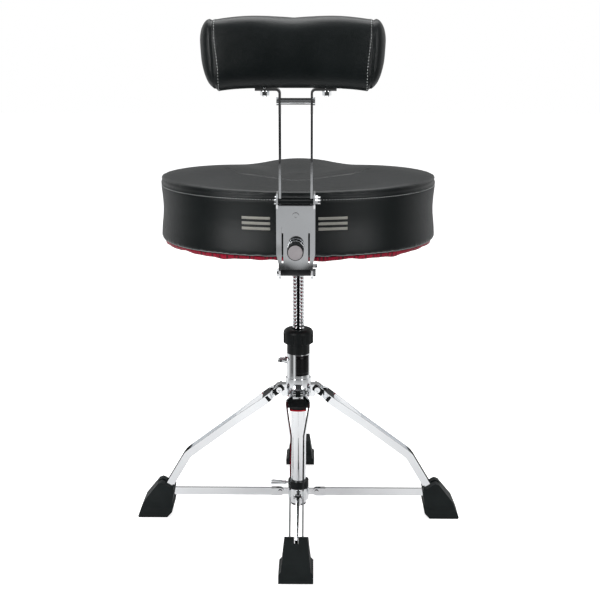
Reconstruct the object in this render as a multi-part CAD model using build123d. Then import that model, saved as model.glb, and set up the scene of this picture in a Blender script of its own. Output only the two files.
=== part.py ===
from build123d import *
import os
from math import atan2, cos, degrees, hypot, radians, sin

# Drum throne: four folding double-strip legs, a threaded seat rod with a hand nut,
# a saddle seat and a tilting, height-adjustable backrest.
# +Z is up, the column stands on the Z axis, the floor is Z = 0, and the backrest is at -Y.
# Parts of a leg are drawn along +X (radius along X, width along Y) and turned into place.

# ---- Driving dimensions, mm ----
LEG_ANGLES = (0, 90, 180, 270)

# Legs: the centre line of the strips in the plane of a leg (radius, height).
LEG_PIVOT = (31.7, 223.9)
LEG_KNEE = (186.8, 107.6)
LEG_END = (230, 34.1)
BEND_RADIUS = 30
STRIP_DEPTH = 12.5
STRIP_THICK = 2.5
STRIP_HALF_AT_PIVOT = 10.8
STRIP_HALF_WIDEST = 19.3
STRIP_HALF_AT_FOOT = 11.3
STRIP_FLARE_START = 41.5
STRIP_WIDEST_START = 49.5
STRIP_WIDEST_END = 60
STRIP_TAPER_END = 106
PIVOT_BOLT_RADIUS = 3.0
PIVOT_HEAD_RADIUS = 4.8
PIVOT_HEAD_HEIGHT = 2.6
SPACER_FROM_PIVOT = 23.3
SPACER_LENGTH = 16
SPACER_DEPTH = 11
SPACER_HALF_WIDTH = 13.7
SPACER_TAB = (5, 10)
PIVOT_COVER_INNER_END = -7
PIVOT_COVER_OUTER_END = 11.5
PIVOT_COVER_DEPTH = 10.4
PIVOT_COVER_THICK = 1.5

# Rubber boots: side outline in the plane of a leg, and widths across it.
BOOT_OUTLINE = (
    (223, 0),
    (270.8, 0),
    (272.5, 2),
    (262.5, 27),
    (239, 56.5),
    (233, 59),
    (212.5, 50.5),
    (211, 45),
    (214.5, 25),
    (211.8, 21.5),
    (214.5, 9),
)
BOOT_HALF_AT_FLOOR = 26.5
BOOT_HALF_ABOVE_RIM = 22.5
BOOT_HALF_AT_TOP = 17.5
BOOT_RIM_HEIGHT = 13
BOOT_NOTCH_MOUTH = (221.5, 52.5)
BOOT_INNER = 205
BOOT_OUTER = 280
BOOT_SLOT_OUTLINE = (
    (195, 29),
    (237, 29),
    (247, 33),
    (251, 40),
    (251, 62),
    (195, 62),
)
BOOT_SLOT_HALF = 3.3

# Braces and their sliding collar.
BRACE_HEIGHT = 38.5
BRACE_PIVOT_RADIUS = 31
BRACE_END_RADIUS = 213.5
BRACE_DEPTH = 13
BRACE_THICK = 5
FORK_WIDTH = 10
FORK_LENGTH = 15
LUG_THICK = 4.4
BRACE_BOLT_RADIUS = 2.5
COLLAR_RADIUS = 17.5
COLLAR_BORE = 14.6
COLLAR_LOW = 26
COLLAR_HIGH = 47
COLLAR_TOP = 60

# Column.
COLUMN_RADIUS = 19.05
COLUMN_WALL = 2
COLUMN_LOW = 216
COLUMN_HIGH = 285
CENTER_RADIUS = 12.7
CENTER_WALL = 1.6
CENTER_LOW = 20
CENTER_HIGH = 250
HUB_RADIUS = 20.8
HUB_LOW = 211
HUB_HIGH = 243
LUG_WIDTH = 16
LUG_RADIUS = 7.6
HOUSING_HIGH = 302.4
NUT_HIGH = 327
NUT_RADIUS = 24.8
NUT_LOBES = 8
NUT_DOME = 7.5

# Threaded seat rod with its keyway.
ROD_RADIUS = 10
ROD_LOW = 215
ROD_HIGH = 483
GROOVE_WIDTH = 5
GROOVE_DEPTH = 2.6

# Wing bolts that lock the column and the collar.
LOCK_HEIGHT = 272
COLLAR_BOLT_HEIGHT = 54.5
LOCK_BOLT_RADIUS = 3
COLLAR_BOLT_RADIUS = 2.5
WING_HALF_SPAN = 8.5
WING_THICK = 3

# Saddle seat: its plan is a chain of tangent arcs from the back edge round to the nose.
SEAT_BACK = -207.5
SEAT_HALF_WIDTH = 218
SEAT_WIDEST_Y = -20
SEAT_BACK_RADIUS = 290
SHOULDER_RADIUS = 110
SHOULDER_TURN = 70
NOSE_CENTER = (22, 130)
NOSE_RADIUS = 42
SEAT_BOTTOM = 486
SEAT_SEAM = 580
SEAT_TOP = 595
BOARD_LOW = 490
BOARD_HIGH = 502
COVER_THICK = 2
PLATE_LOW = 483.5
PLATE_HIGH = 487.2
SOCKET_LOW = 428
SOCKET_RADIUS = 16
CLAMP_BOLT_HEIGHT = 437
CLAMP_BOLT_BACK = -21.5
ARM_WIDTH = 32
ARM_THICK = 5
ARM_TOP = 483.3
PLATE_SIZE = (150, 116)
PLATE_HOLES = ((-62, -45), (62, -45), (-62, 45), (62, 45))
ARM_HOLES = ((0, -130), (0, -95))

# Backrest bracket, guided posts and clamp knob.
POST_Y = -228
POST_DEPTH = 20
POST_THICK = 3.2
POST_X = 22.5
POST_LOW = 530
POST_BEND = 732.6
TAB_REACH = 57
PLATE_THICK = 3
HEIGHT_PLATE_LOW = 478
HEIGHT_PLATE_HIGH = 548
SHEET = 2.6
BRACKET_INNER = 25.2
EAR_INNER = 22
BRACKET_BACK = -243.8
BRACKET_FRONT = -211.5
BRACKET_TOP = 587
STEP_HIGH = 500
STEP_LOW = 486
EAR_HIGH = 480
WEB_HIGH = 571
CLAMP_PLATE_LOW = 541
CLAMP_PLATE_HIGH = 570.5
CLAMP_SCREW_HEIGHT = 556
TILT_HEIGHT = 470.5
BARREL_RADIUS = 5
GUIDE_HEIGHT = 576
GUIDE_BACK_Y = -243.4
GUIDE_FRONT_Y = -214.6
KNOB_HEIGHT = 510
KNOB_RADIUS = 11.6
KNOB_END = -283
KNOB_STEM_RADIUS = 4

# Backrest pad.
PAD_WIDTH = 257
PAD_LOW = 735
PAD_HIGH = 833
PAD_THICK = 68
PAD_CORNER = 27
PAD_SEAM_X = 117
PAD_BOLT_X = 43.5
CROSS_BAR_HEIGHT = 716
PAD_BOARD_HALF_LENGTH = 105
PAD_BOARD_HALF_DEPTH = 16
PAD_BOARD_THICK = 10

EASY = 0.1    # radial clearance of pins and sleeves that turn or slide
GAP = 0.3     # clearance between faces of different pieces
PAST = 300    # reach of a cutting shape past the piece that it cuts


# ---- Helpers ----
def save(name, shape):
    shape.label = name
    export_step(shape, f"parts/{name}.step")


def group(solids):
    """Several separate solids kept as one sub-part."""
    return Compound(children=[piece.solid() for piece in solids])


def tube(outer, inner, low, high):
    """Upright tube on the column's axis."""
    ring = Circle(outer) - Circle(inner)
    return extrude(Pos(0, 0, low) * ring, amount=high - low)


def pin(start, end, radius):
    """Round bar from one point to another."""
    run = Vector(*end) - Vector(*start)
    return extrude(Plane(origin=start, z_dir=run) * Circle(radius), amount=run.length)


def hexagon(start, end, across_flats):
    """Hexagonal bar from one point to another."""
    run = Vector(*end) - Vector(*start)
    outline = RegularPolygon(across_flats / 2, 6, major_radius=False)
    return extrude(Plane(origin=start, z_dir=run) * outline, amount=run.length)


def block(x_from, x_to, y_from, y_to, z_from, z_to):
    """Rectangular block between two corners."""
    size = Box(x_to - x_from, y_to - y_from, z_to - z_from)
    return Pos((x_from + x_to) / 2, (y_from + y_to) / 2, (z_from + z_to) / 2) * size


def leg_prism(outline, half_width):
    """A side outline (radius, height) widened evenly to both sides of the leg's plane."""
    return extrude(Plane.XZ * outline, amount=half_width, both=True)


def front_prism(points, near, far):
    """An outline in (width, height) extended outwards between two radii."""
    return extrude(Plane.YZ.offset(near) * make_face(Polyline(*points, close=True)), amount=far - near)


def turned(shape, angle):
    return Rot(0, 0, angle) * shape


def wing_bolt(tip, root, end, radius):
    """Bolt along -X: a round shank, a hub at the root, and two flat wings that flare outwards."""
    shank = pin((-tip, 0, 0), (-root - 4, 0, 0), radius)
    hub = pin((-root, 0, 0), (-root - 7, 0, 0), radius + 1.6)
    flare = [(-root - 1, 0), (-root - 3, 5), (-end + 3, WING_HALF_SPAN), (-end, WING_HALF_SPAN - 2),
             (-end + 1, 3), (-root - 8, 1.5), (-root - 8, 0)]
    half = make_face(Polyline(*flare, close=True))
    wing = extrude(half + mirror(half, Plane.XZ), amount=WING_THICK / 2, both=True)
    return shank + hub + wing


# ---- Legs ----
def leg_outline(reach):
    """Side outline of a strip: its bent centre line widened by reach, with round ends."""
    bends = FilletPolyline(LEG_PIVOT, LEG_KNEE, LEG_END, radius=BEND_RADIUS)
    return Face(bends.wire().offset_2d(reach, kind=Kind.ARC, side=Side.BOTH))


def strip_plan(face_offset):
    """Outer edge of a strip seen from above, as (radius, half width) points moved in by face_offset."""
    far = LEG_END[0] + STRIP_DEPTH
    near = LEG_PIVOT[0] - STRIP_DEPTH
    return [
        (near, STRIP_HALF_AT_PIVOT - face_offset),
        (STRIP_FLARE_START, STRIP_HALF_AT_PIVOT - face_offset),
        (STRIP_WIDEST_START, STRIP_HALF_WIDEST - face_offset),
        (STRIP_WIDEST_END, STRIP_HALF_WIDEST - face_offset),
        (STRIP_TAPER_END, STRIP_HALF_AT_FOOT - face_offset),
        (far, STRIP_HALF_AT_FOOT - face_offset),
    ]


def leg_band(outer_offset, inner_offset):
    """Plan face between two offsets from a strip's outer face, on the +Y side."""
    outline = strip_plan(outer_offset) + strip_plan(inner_offset)[::-1]
    return make_face(Polyline(*outline, close=True))


def leg_strips():
    side = leg_prism(leg_outline(STRIP_DEPTH / 2), STRIP_HALF_WIDEST + 5)
    wall = extrude(leg_band(0, STRIP_THICK), amount=PAST)
    strip = side & wall
    r, z = LEG_PIVOT
    bore = pin((r, -PAST, z), (r, PAST, z), PIVOT_BOLT_RADIUS + EASY)
    strip = strip - bore - spacer_tabs(GAP, STRIP_HALF_WIDEST + 5)
    return group([strip, mirror(strip, Plane.XZ)])


def upper_run(distance):
    """Plane in the middle of a leg at a distance from its pivot: X along the leg, Y square to it."""
    slope = atan2(LEG_KNEE[1] - LEG_PIVOT[1], LEG_KNEE[0] - LEG_PIVOT[0])
    along = (cos(slope), 0, sin(slope))
    origin = (LEG_PIVOT[0] + distance * along[0], 0, LEG_PIVOT[1] + distance * along[2])
    return Plane(origin=origin, x_dir=along, z_dir=(0, 1, 0))


def spacer_tabs(gap, reach):
    """The spacer's tabs through both strips, or their windows when gap is added."""
    length, depth = SPACER_TAB
    outline = upper_run(SPACER_FROM_PIVOT) * Rectangle(length + gap, depth + gap)
    return extrude(outline, amount=reach, both=True)


def leg_spacer():
    """Plastic block between the strips, with a tab through each strip."""
    outline = upper_run(SPACER_FROM_PIVOT) * Rectangle(SPACER_LENGTH, SPACER_DEPTH)
    inside = strip_plan(STRIP_THICK + 0.05)
    between = make_face(Polyline(*inside, *[(r, -t) for r, t in inside[::-1]], close=True))
    body = extrude(outline, amount=SPACER_HALF_WIDTH, both=True) & extrude(between, amount=PAST)
    return body + spacer_tabs(0, STRIP_HALF_WIDEST + 0.5)


def pivot_cover():
    """Plastic cheek on the outer face of a strip, round the pivot bolt."""
    r, z = LEG_PIVOT
    inner = STRIP_HALF_AT_PIVOT + 0.1
    length = PIVOT_COVER_OUTER_END - PIVOT_COVER_INNER_END
    middle = (PIVOT_COVER_OUTER_END + PIVOT_COVER_INNER_END) / 2
    outline = upper_run(middle) * Rectangle(length, PIVOT_COVER_DEPTH)
    cheek = extrude(outline, amount=inner + PIVOT_COVER_THICK, both=True)
    cheek = cheek - pin((r, -PAST, z), (r, PAST, z), PIVOT_BOLT_RADIUS + EASY)
    return cheek & block(0, STRIP_FLARE_START, inner, PAST, 0, PAST)


def leg_fittings():
    cover = pivot_cover()
    return group([leg_spacer(), cover, mirror(cover, Plane.XZ)])


def boot():
    side = leg_prism(make_face(Polyline(*BOOT_OUTLINE, close=True)), BOOT_HALF_AT_FLOOR)
    top = max(height for _, height in BOOT_OUTLINE)
    half = [(BOOT_HALF_AT_FLOOR, 0), (BOOT_HALF_AT_FLOOR, BOOT_RIM_HEIGHT),
            (BOOT_HALF_ABOVE_RIM, BOOT_RIM_HEIGHT + 4), (BOOT_HALF_AT_TOP, top + 1)]
    front = front_prism(half + [(-t, z) for t, z in half[::-1]], BOOT_INNER, BOOT_OUTER)
    socket = leg_prism(leg_outline(STRIP_DEPTH / 2 + 0.2), STRIP_HALF_AT_FOOT + 0.1)
    return (side & front) - socket - boot_side_notch() - brace_slot()


def boot_side_notch():
    """The side walls end lower than the walls before and behind the leg."""
    slope = atan2(LEG_END[1] - LEG_KNEE[1], LEG_END[0] - LEG_KNEE[0])
    along = (cos(slope), 0, sin(slope))
    mouth_r, mouth_z = BOOT_NOTCH_MOUTH
    frame = Plane(origin=(mouth_r, 0, mouth_z), x_dir=along, z_dir=(0, 1, 0))
    return extrude(frame * Pos(-20, 0) * Rectangle(40, STRIP_DEPTH + 0.4), amount=PAST, both=True)


def brace_slot():
    """Slot in the boot that the brace's outer end swings in."""
    return leg_prism(make_face(Polyline(*BOOT_SLOT_OUTLINE, close=True)), BOOT_SLOT_HALF)


def brace():
    """Flat bar with a forked inner end that straddles the collar's lug."""
    middle = (BRACE_PIVOT_RADIUS + BRACE_END_RADIUS) / 2
    length = BRACE_END_RADIUS - BRACE_PIVOT_RADIUS
    profile = Pos(middle, BRACE_HEIGHT) * Rectangle(length, BRACE_DEPTH)
    eye = Pos(BRACE_PIVOT_RADIUS, BRACE_HEIGHT) * Circle(BRACE_DEPTH / 2)
    bar = leg_prism(profile, BRACE_THICK / 2)
    head = Pos(BRACE_PIVOT_RADIUS + FORK_LENGTH / 2, BRACE_HEIGHT) * Rectangle(FORK_LENGTH, BRACE_DEPTH)
    fork = leg_prism(head + eye, FORK_WIDTH / 2)
    half_gap = LUG_THICK / 2 + GAP
    gap = block(0, BRACE_PIVOT_RADIUS + 6.8, -half_gap, half_gap, 0, PAST)
    return (bar + fork) - gap - brace_bolt_bar(PAST, BRACE_BOLT_RADIUS + EASY)


def brace_bolt_bar(half_length, radius):
    r, z = BRACE_PIVOT_RADIUS, BRACE_HEIGHT
    return pin((r, -half_length, z), (r, half_length, z), radius)


# ---- Sliding collar ----
def brace_collar():
    ring = tube(COLLAR_RADIUS, COLLAR_BORE, COLLAR_LOW, COLLAR_HIGH)
    root = COLLAR_RADIUS - 2
    eye = Pos(BRACE_PIVOT_RADIUS, BRACE_HEIGHT) * Circle(5.5)
    neck = Pos((BRACE_PIVOT_RADIUS + root) / 2, BRACE_HEIGHT) * Rectangle(BRACE_PIVOT_RADIUS - root, 11)
    lug = leg_prism(eye + neck, LUG_THICK / 2) - brace_bolt_bar(PAST, BRACE_BOLT_RADIUS + 0.05)
    for angle in LEG_ANGLES:
        ring = ring + turned(lug, angle)
    return ring


def collar_bush():
    """Plastic sleeve inside the collar, with a thick rim above it for the wing bolt."""
    bore = CENTER_RADIUS + 0.08
    sleeve = tube(COLLAR_BORE - 0.1, bore, COLLAR_LOW - 1, COLLAR_HIGH + 1)
    rim = tube(COLLAR_RADIUS, bore, COLLAR_HIGH + 0.1, COLLAR_TOP)
    thread = pin((0, 0, COLLAR_BOLT_HEIGHT), (-PAST, 0, COLLAR_BOLT_HEIGHT), COLLAR_BOLT_RADIUS + EASY)
    return sleeve + rim - thread


def brace_pivot_bolts():
    face = FORK_WIDTH / 2 + GAP
    heads = brace_bolt_bar(face + 2.5, 4) - brace_bolt_bar(face, 4)
    bolt = brace_bolt_bar(face + 1, BRACE_BOLT_RADIUS) + heads
    return group([turned(bolt, angle) for angle in LEG_ANGLES])


def collar_wing_bolt():
    return Pos(0, 0, COLLAR_BOLT_HEIGHT) * wing_bolt(CENTER_RADIUS + 0.4, 20.5, 47, COLLAR_BOLT_RADIUS)


# ---- Column and hub ----
def column_tube():
    """Upper tube with a welded boss for the lock bolt."""
    wall = tube(COLUMN_RADIUS, COLUMN_RADIUS - COLUMN_WALL, COLUMN_LOW + 0.1, COLUMN_HIGH)
    boss = pin((-COLUMN_RADIUS + 1, 0, LOCK_HEIGHT), (-COLUMN_RADIUS - 4, 0, LOCK_HEIGHT), 6)
    thread = pin((0, 0, LOCK_HEIGHT), (-PAST, 0, LOCK_HEIGHT), LOCK_BOLT_RADIUS + EASY)
    return wall + boss - thread


def center_tube():
    return tube(CENTER_RADIUS, CENTER_RADIUS - CENTER_WALL, CENTER_LOW, CENTER_HIGH)


def tube_end_cap():
    cap = tube(CENTER_RADIUS, 4, CENTER_LOW - 3, CENTER_LOW - 0.05)
    plug = tube(CENTER_RADIUS - CENTER_WALL - 0.05, 4, CENTER_LOW - 0.5, CENTER_LOW + 9)
    return cap + plug


def hub_lug():
    """Lug that a leg turns on, with a window in its end for the plastic bush."""
    r, z = LEG_PIVOT
    root = HUB_RADIUS - 2.5
    top = z + LUG_RADIUS
    eye = Pos(r, z) * Circle(LUG_RADIUS)
    outline = Polyline((root, HUB_LOW), (27, HUB_LOW), (30, z - 7.4), (r, top), (root, top), close=True)
    lug = leg_prism(eye + make_face(outline), LUG_WIDTH / 2)
    window = block(r - 6, r + 10, -4, 4, z - 5.5, z + 5.5)
    bore = pin((r, -PAST, z), (r, PAST, z), PIVOT_BOLT_RADIUS + 0.05)
    return lug - window - bore


def leg_hub():
    """Die-cast hub: sleeve between the two tubes, outer wall, floor and four lugs."""
    body = tube(HUB_RADIUS, CENTER_RADIUS + 0.05, HUB_LOW, HUB_HIGH)
    for angle in LEG_ANGLES:
        body = body + turned(hub_lug(), angle)
    return body - tube(COLUMN_RADIUS + 0.05, COLUMN_RADIUS - COLUMN_WALL - 0.05, COLUMN_LOW, HUB_HIGH + 1)


def hub_bushes():
    """Plastic bushes in the windows of the four lugs."""
    r, z = LEG_PIVOT
    bush = block(r - 5.9, r + 7, -3.9, 3.9, z - 5.4, z + 5.4)
    bush = bush & leg_prism(Pos(r, z) * Circle(LUG_RADIUS - 0.2), LUG_WIDTH)
    bore = pin((r, -PAST, z), (r, PAST, z), PIVOT_BOLT_RADIUS + 0.05)
    return group([turned(bush - bore, angle) for angle in LEG_ANGLES])


def leg_pivot_bolts():
    r, z = LEG_PIVOT
    face = STRIP_HALF_AT_PIVOT + PIVOT_COVER_THICK + 0.4
    end = face + PIVOT_HEAD_HEIGHT
    bolt = pin((r, -face, z), (r, face, z), PIVOT_BOLT_RADIUS)
    bolt = bolt + pin((r, face, z), (r, end, z), PIVOT_HEAD_RADIUS)
    bolt = bolt + pin((r, -face, z), (r, -end, z), PIVOT_HEAD_RADIUS)
    bolt = bolt - hexagon((r, face + 1, z), (r, end + 1, z), 4)
    bolt = bolt - pin((r, -face - 1.5, z), (r, -end - 1, z), 2)
    return group([turned(bolt, angle) for angle in LEG_ANGLES])


def rod_groove(clearance):
    """Keyway along the back of the rod."""
    half = GROOVE_WIDTH / 2 + clearance
    floor = -ROD_RADIUS + GROOVE_DEPTH + clearance
    return block(-half, half, floor - ROD_RADIUS, floor, 0, ROD_HIGH + PAST)


def nut_housing():
    """Plastic end piece on the column: a plug in the tube, a cap, and a key in the rod's keyway."""
    bore = ROD_RADIUS + 0.3
    plug = tube(COLUMN_RADIUS - COLUMN_WALL - 0.05, bore, COLUMN_HIGH - 24, COLUMN_HIGH + 1)
    cap = tube(COLUMN_RADIUS - 0.1, bore, COLUMN_HIGH + 0.05, HOUSING_HIGH)
    key = block(-GROOVE_WIDTH / 2 + 0.3, GROOVE_WIDTH / 2 - 0.3, -bore - 1, -ROD_RADIUS + GROOVE_DEPTH - 0.5,
                COLUMN_HIGH + 2, HOUSING_HIGH - 2)
    thread = pin((0, 0, LOCK_HEIGHT), (-PAST, 0, LOCK_HEIGHT), LOCK_BOLT_RADIUS + GAP)
    return plug + cap + key - thread


def column_lock_bolt():
    return Pos(0, 0, LOCK_HEIGHT) * wing_bolt(ROD_RADIUS + 0.4, 23.6, 34, LOCK_BOLT_RADIUS)


# ---- Height adjustment ----
def height_nut():
    """Hand nut grip with rounded lobes round its side and a domed top."""
    low = HOUSING_HIGH + GAP
    height = NUT_HIGH - low
    grip = extrude(Pos(0, 0, low) * Circle(NUT_RADIUS), amount=height)
    rims = grip.edges().filter_by(GeomType.CIRCLE).sort_by(Axis.Z)
    grip = fillet(rims[-1], NUT_DOME)
    grip = chamfer(grip.edges().filter_by(GeomType.CIRCLE).sort_by(Axis.Z)[0], 0.8)
    for index in range(NUT_LOBES):
        flute = Pos(NUT_RADIUS + 2.2, 0, low) * extrude(Circle(4), amount=height - NUT_DOME)
        grip = grip - turned(flute, 360 * (index + 0.5) / NUT_LOBES)
    pocket = pin((0, 0, low - 1), (0, 0, NUT_HIGH - 5), 16.1)
    mouth = pin((0, 0, low), (0, 0, NUT_HIGH + 1), ROD_RADIUS + 0.8)
    return grip - pocket - mouth


def nut_insert():
    """Threaded metal insert moulded into the hand nut."""
    return tube(16, ROD_RADIUS + EASY, HOUSING_HIGH + GAP, NUT_HIGH - 5.1)


def rod():
    bar = extrude(Pos(0, 0, ROD_LOW) * Circle(ROD_RADIUS), amount=ROD_HIGH - ROD_LOW)
    ends = bar.edges().filter_by(GeomType.CIRCLE)
    return chamfer(ends, 1) - rod_groove(0)


# ---- Saddle seat ----
def seat_arcs():
    """Centres and radii of the saddle's arcs on the right side, as (x, y, radius) from the back."""
    back_y = SEAT_BACK + SEAT_BACK_RADIUS
    rise = back_y - SEAT_WIDEST_Y
    spare = SEAT_BACK_RADIUS - SEAT_HALF_WIDTH
    side_radius = (SEAT_BACK_RADIUS**2 - rise**2 - SEAT_HALF_WIDTH**2) / (2 * spare)
    shoulder_x = SEAT_HALF_WIDTH - SHOULDER_RADIUS
    turn = radians(SHOULDER_TURN)
    end_x = shoulder_x + SHOULDER_RADIUS * cos(turn)
    end_y = SEAT_WIDEST_Y + SHOULDER_RADIUS * sin(turn)
    from_nose = (end_x - NOSE_CENTER[0], end_y - NOSE_CENTER[1])
    lean = from_nose[0] * cos(turn) + from_nose[1] * sin(turn)
    thigh_radius = (hypot(*from_nose)**2 - NOSE_RADIUS**2) / (2 * (NOSE_RADIUS - lean))
    thigh_x = end_x + thigh_radius * cos(turn)
    thigh_y = end_y + thigh_radius * sin(turn)
    return {
        "back": (0, back_y, SEAT_BACK_RADIUS),
        "side": (SEAT_HALF_WIDTH - side_radius, SEAT_WIDEST_Y, side_radius),
        "shoulder": (shoulder_x, SEAT_WIDEST_Y, SHOULDER_RADIUS),
        "thigh": (thigh_x, thigh_y, thigh_radius),
        "nose": (*NOSE_CENTER, NOSE_RADIUS),
    }


def seat_plan(inset):
    """Plan face of the saddle, moved in by inset: hollow arcs grow and full arcs shrink."""
    arcs = seat_arcs()
    back_x, back_y, back_radius = arcs["back"]
    side_x, side_y, side_radius = arcs["side"]
    thigh_x, thigh_y, thigh_radius = arcs["thigh"]
    side_start = degrees(atan2(side_y - back_y, side_x - back_x))
    nose_start = degrees(atan2(thigh_y - NOSE_CENTER[1], thigh_x - NOSE_CENTER[0]))
    thigh_turn = SHOULDER_TURN - nose_start
    half = [
        CenterArc((back_x, back_y), back_radius - inset, -90, side_start + 90),
        CenterArc((side_x, side_y), side_radius - inset, side_start, -side_start),
        CenterArc(arcs["shoulder"][:2], SHOULDER_RADIUS - inset, 0, SHOULDER_TURN),
        CenterArc((thigh_x, thigh_y), thigh_radius + inset, 180 + SHOULDER_TURN, -thigh_turn),
        CenterArc(NOSE_CENTER, NOSE_RADIUS - inset, nose_start, 90 - nose_start),
    ]
    front = NOSE_CENTER[1] + NOSE_RADIUS - inset
    half.append(Line((NOSE_CENTER[0], front), (0, front)))
    return make_face(half + [mirror(edge, Plane.YZ) for edge in half])


def slab(face, low, high):
    return extrude(Pos(0, 0, low) * face, amount=high - low)


def seat_board():
    return slab(seat_plan(COVER_THICK + 3), BOARD_LOW, BOARD_HIGH)


def seat_foam():
    return slab(seat_plan(COVER_THICK + 0.5), BOARD_HIGH + 0.1, SEAT_SEAM - 0.2)


def seat_side_band():
    inside = slab(seat_plan(COVER_THICK), SEAT_BOTTOM - 1, SEAT_SEAM + 1)
    return slab(seat_plan(0), SEAT_BOTTOM, SEAT_SEAM) - inside


def seat_top_cover():
    pad = slab(seat_plan(0.5), SEAT_SEAM + 0.1, SEAT_TOP)
    return fillet(pad.edges().group_by(Axis.Z)[-1], 9)


def seat_dust_cover():
    """Red fabric under the board, open round the seat plate and the arm's screws."""
    fabric = slab(seat_plan(COVER_THICK + 0.6), PLATE_HIGH + 0.3, BOARD_LOW - 0.3)
    half_x, half_y = PLATE_SIZE[0] / 2 + 6, PLATE_SIZE[1] / 2 + 3
    fabric = fabric - block(-half_x, half_x, -half_y, half_y, 0, BOARD_LOW)
    for x, y in ARM_HOLES:
        fabric = fabric - pin((x, y, 0), (x, y, BOARD_LOW), 4)
    return fabric


def seat_plate():
    """Steel plate under the board with the split socket that takes the rod."""
    length, width = PLATE_SIZE
    plate = slab(RectangleRounded(length, width, 12), PLATE_LOW, PLATE_HIGH)
    raised = slab(RectangleRounded(length - 20, width - 16, 10), PLATE_HIGH, BOARD_LOW - 0.05)
    socket = tube(SOCKET_RADIUS, 2, SOCKET_LOW, PLATE_LOW + 0.5)
    ears = block(-7, 7, CLAMP_BOLT_BACK - 6, -12, SOCKET_LOW, CLAMP_BOLT_HEIGHT + 9)
    body = plate + raised + socket + ears
    bore = pin((0, 0, SOCKET_LOW - 1), (0, 0, ROD_HIGH + GAP), ROD_RADIUS + EASY)
    split = block(-1.2, 1.2, CLAMP_BOLT_BACK - 20, -5, SOCKET_LOW - 1, CLAMP_BOLT_HEIGHT + 14)
    y, z = CLAMP_BOLT_BACK, CLAMP_BOLT_HEIGHT
    cross = pin((-PAST, y, z), (PAST, y, z), LOCK_BOLT_RADIUS + EASY)
    for x, y in PLATE_HOLES:
        body = body - pin((x, y, 0), (x, y, BOARD_LOW), 2.7)
    return body - bore - split - cross


def seat_screws():
    """Round-head screws that hold the plate and the backrest arm to the board."""
    screws = []
    for x, y in PLATE_HOLES:
        head = pin((x, y, PLATE_LOW - 2.5), (x, y, PLATE_LOW - 0.05), 4.5)
        screws.append(head + pin((x, y, PLATE_LOW - 1), (x, y, BOARD_LOW - 0.1), 2.5))
    for x, y in ARM_HOLES:
        under = ARM_TOP - ARM_THICK - 0.05
        head = pin((x, y, under - 2.5), (x, y, under), 5.5)
        screws.append(head + pin((x, y, under - 1), (x, y, BOARD_LOW - 0.1), 3))
    return group(screws)


def socket_clamp_bolt():
    """Wing bolt across the ears of the socket; the wing is on the right."""
    bolt = Rot(0, 0, 180) * wing_bolt(-9.2, 11, 31, LOCK_BOLT_RADIUS)
    head = hexagon((-11, 0, 0), (-7.3, 0, 0), 10)
    return Pos(0, CLAMP_BOLT_BACK, CLAMP_BOLT_HEIGHT) * (bolt + head)


def backrest_arm():
    """Flat steel arm from under the seat back to the tilt barrel."""
    low = TILT_HEIGHT - ARM_THICK / 2
    front = -PLATE_SIZE[1] / 2 - 4
    side = [(POST_Y + 4.5, low), (-185, low), (-150, ARM_TOP - ARM_THICK), (front, ARM_TOP - ARM_THICK),
            (front, ARM_TOP), (-151, ARM_TOP), (-186, low + ARM_THICK), (POST_Y + 4.5, low + ARM_THICK)]
    bar = extrude(Plane.YZ * make_face(Polyline(*side, close=True)), amount=ARM_WIDTH / 2, both=True)
    for x, y in ARM_HOLES:
        bar = bar - pin((x, y, 0), (x, y, PAST + ARM_TOP), 3.2)
    return bar - tilt_bar(BARREL_RADIUS + 0.05, PAST)


def tilt_bar(radius, half_length):
    return pin((-half_length, POST_Y, TILT_HEIGHT), (half_length, POST_Y, TILT_HEIGHT), radius)


def tilt_barrel():
    """Black barrel welded across the end of the arm; the bracket's bolt turns in it."""
    return tilt_bar(BARREL_RADIUS, EAR_INNER - GAP) - tilt_bar(3 + EASY, PAST)


# ---- Backrest bracket ----
def bracket_side_outline():
    """Side plate in (y, z): wide at the guide bolts, with a round lower end."""
    back, front, low = BRACKET_BACK, BRACKET_FRONT, EAR_HIGH
    horn = back - 4
    upper = Polyline((back, low), (back, WEB_HIGH - 5), (horn, WEB_HIGH + 1), (horn, BRACKET_TOP - 5),
                     (back + 1, BRACKET_TOP), (front, BRACKET_TOP), (front, STEP_HIGH), (front - 6.5, low),
                     close=True)
    rear = Polyline((back, low + 1), (back, low - 4), (POST_Y - 9, TILT_HEIGHT - 2), (POST_Y, low + 1),
                    close=True)
    ear = Pos(POST_Y, (low + TILT_HEIGHT) / 2) * Rectangle(20, low - TILT_HEIGHT)
    rounded = Pos(POST_Y, TILT_HEIGHT) * Circle(9.5)
    return make_face(upper) + make_face(rear) + ear + rounded


def bracket_plan_walls():
    """The right side wall seen from the back, stepped in at the bottom ears."""
    top, bottom = BRACKET_TOP + 10, TILT_HEIGHT - 20
    outer = BRACKET_INNER + SHEET
    ear_outer = EAR_INNER + SHEET
    wall = Polyline((outer, top), (outer, STEP_HIGH), (ear_outer, STEP_LOW), (ear_outer, bottom),
                    (EAR_INNER, bottom), (EAR_INNER, STEP_LOW), (BRACKET_INNER, STEP_HIGH),
                    (BRACKET_INNER, top), close=True)
    return make_face(wall)


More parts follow.
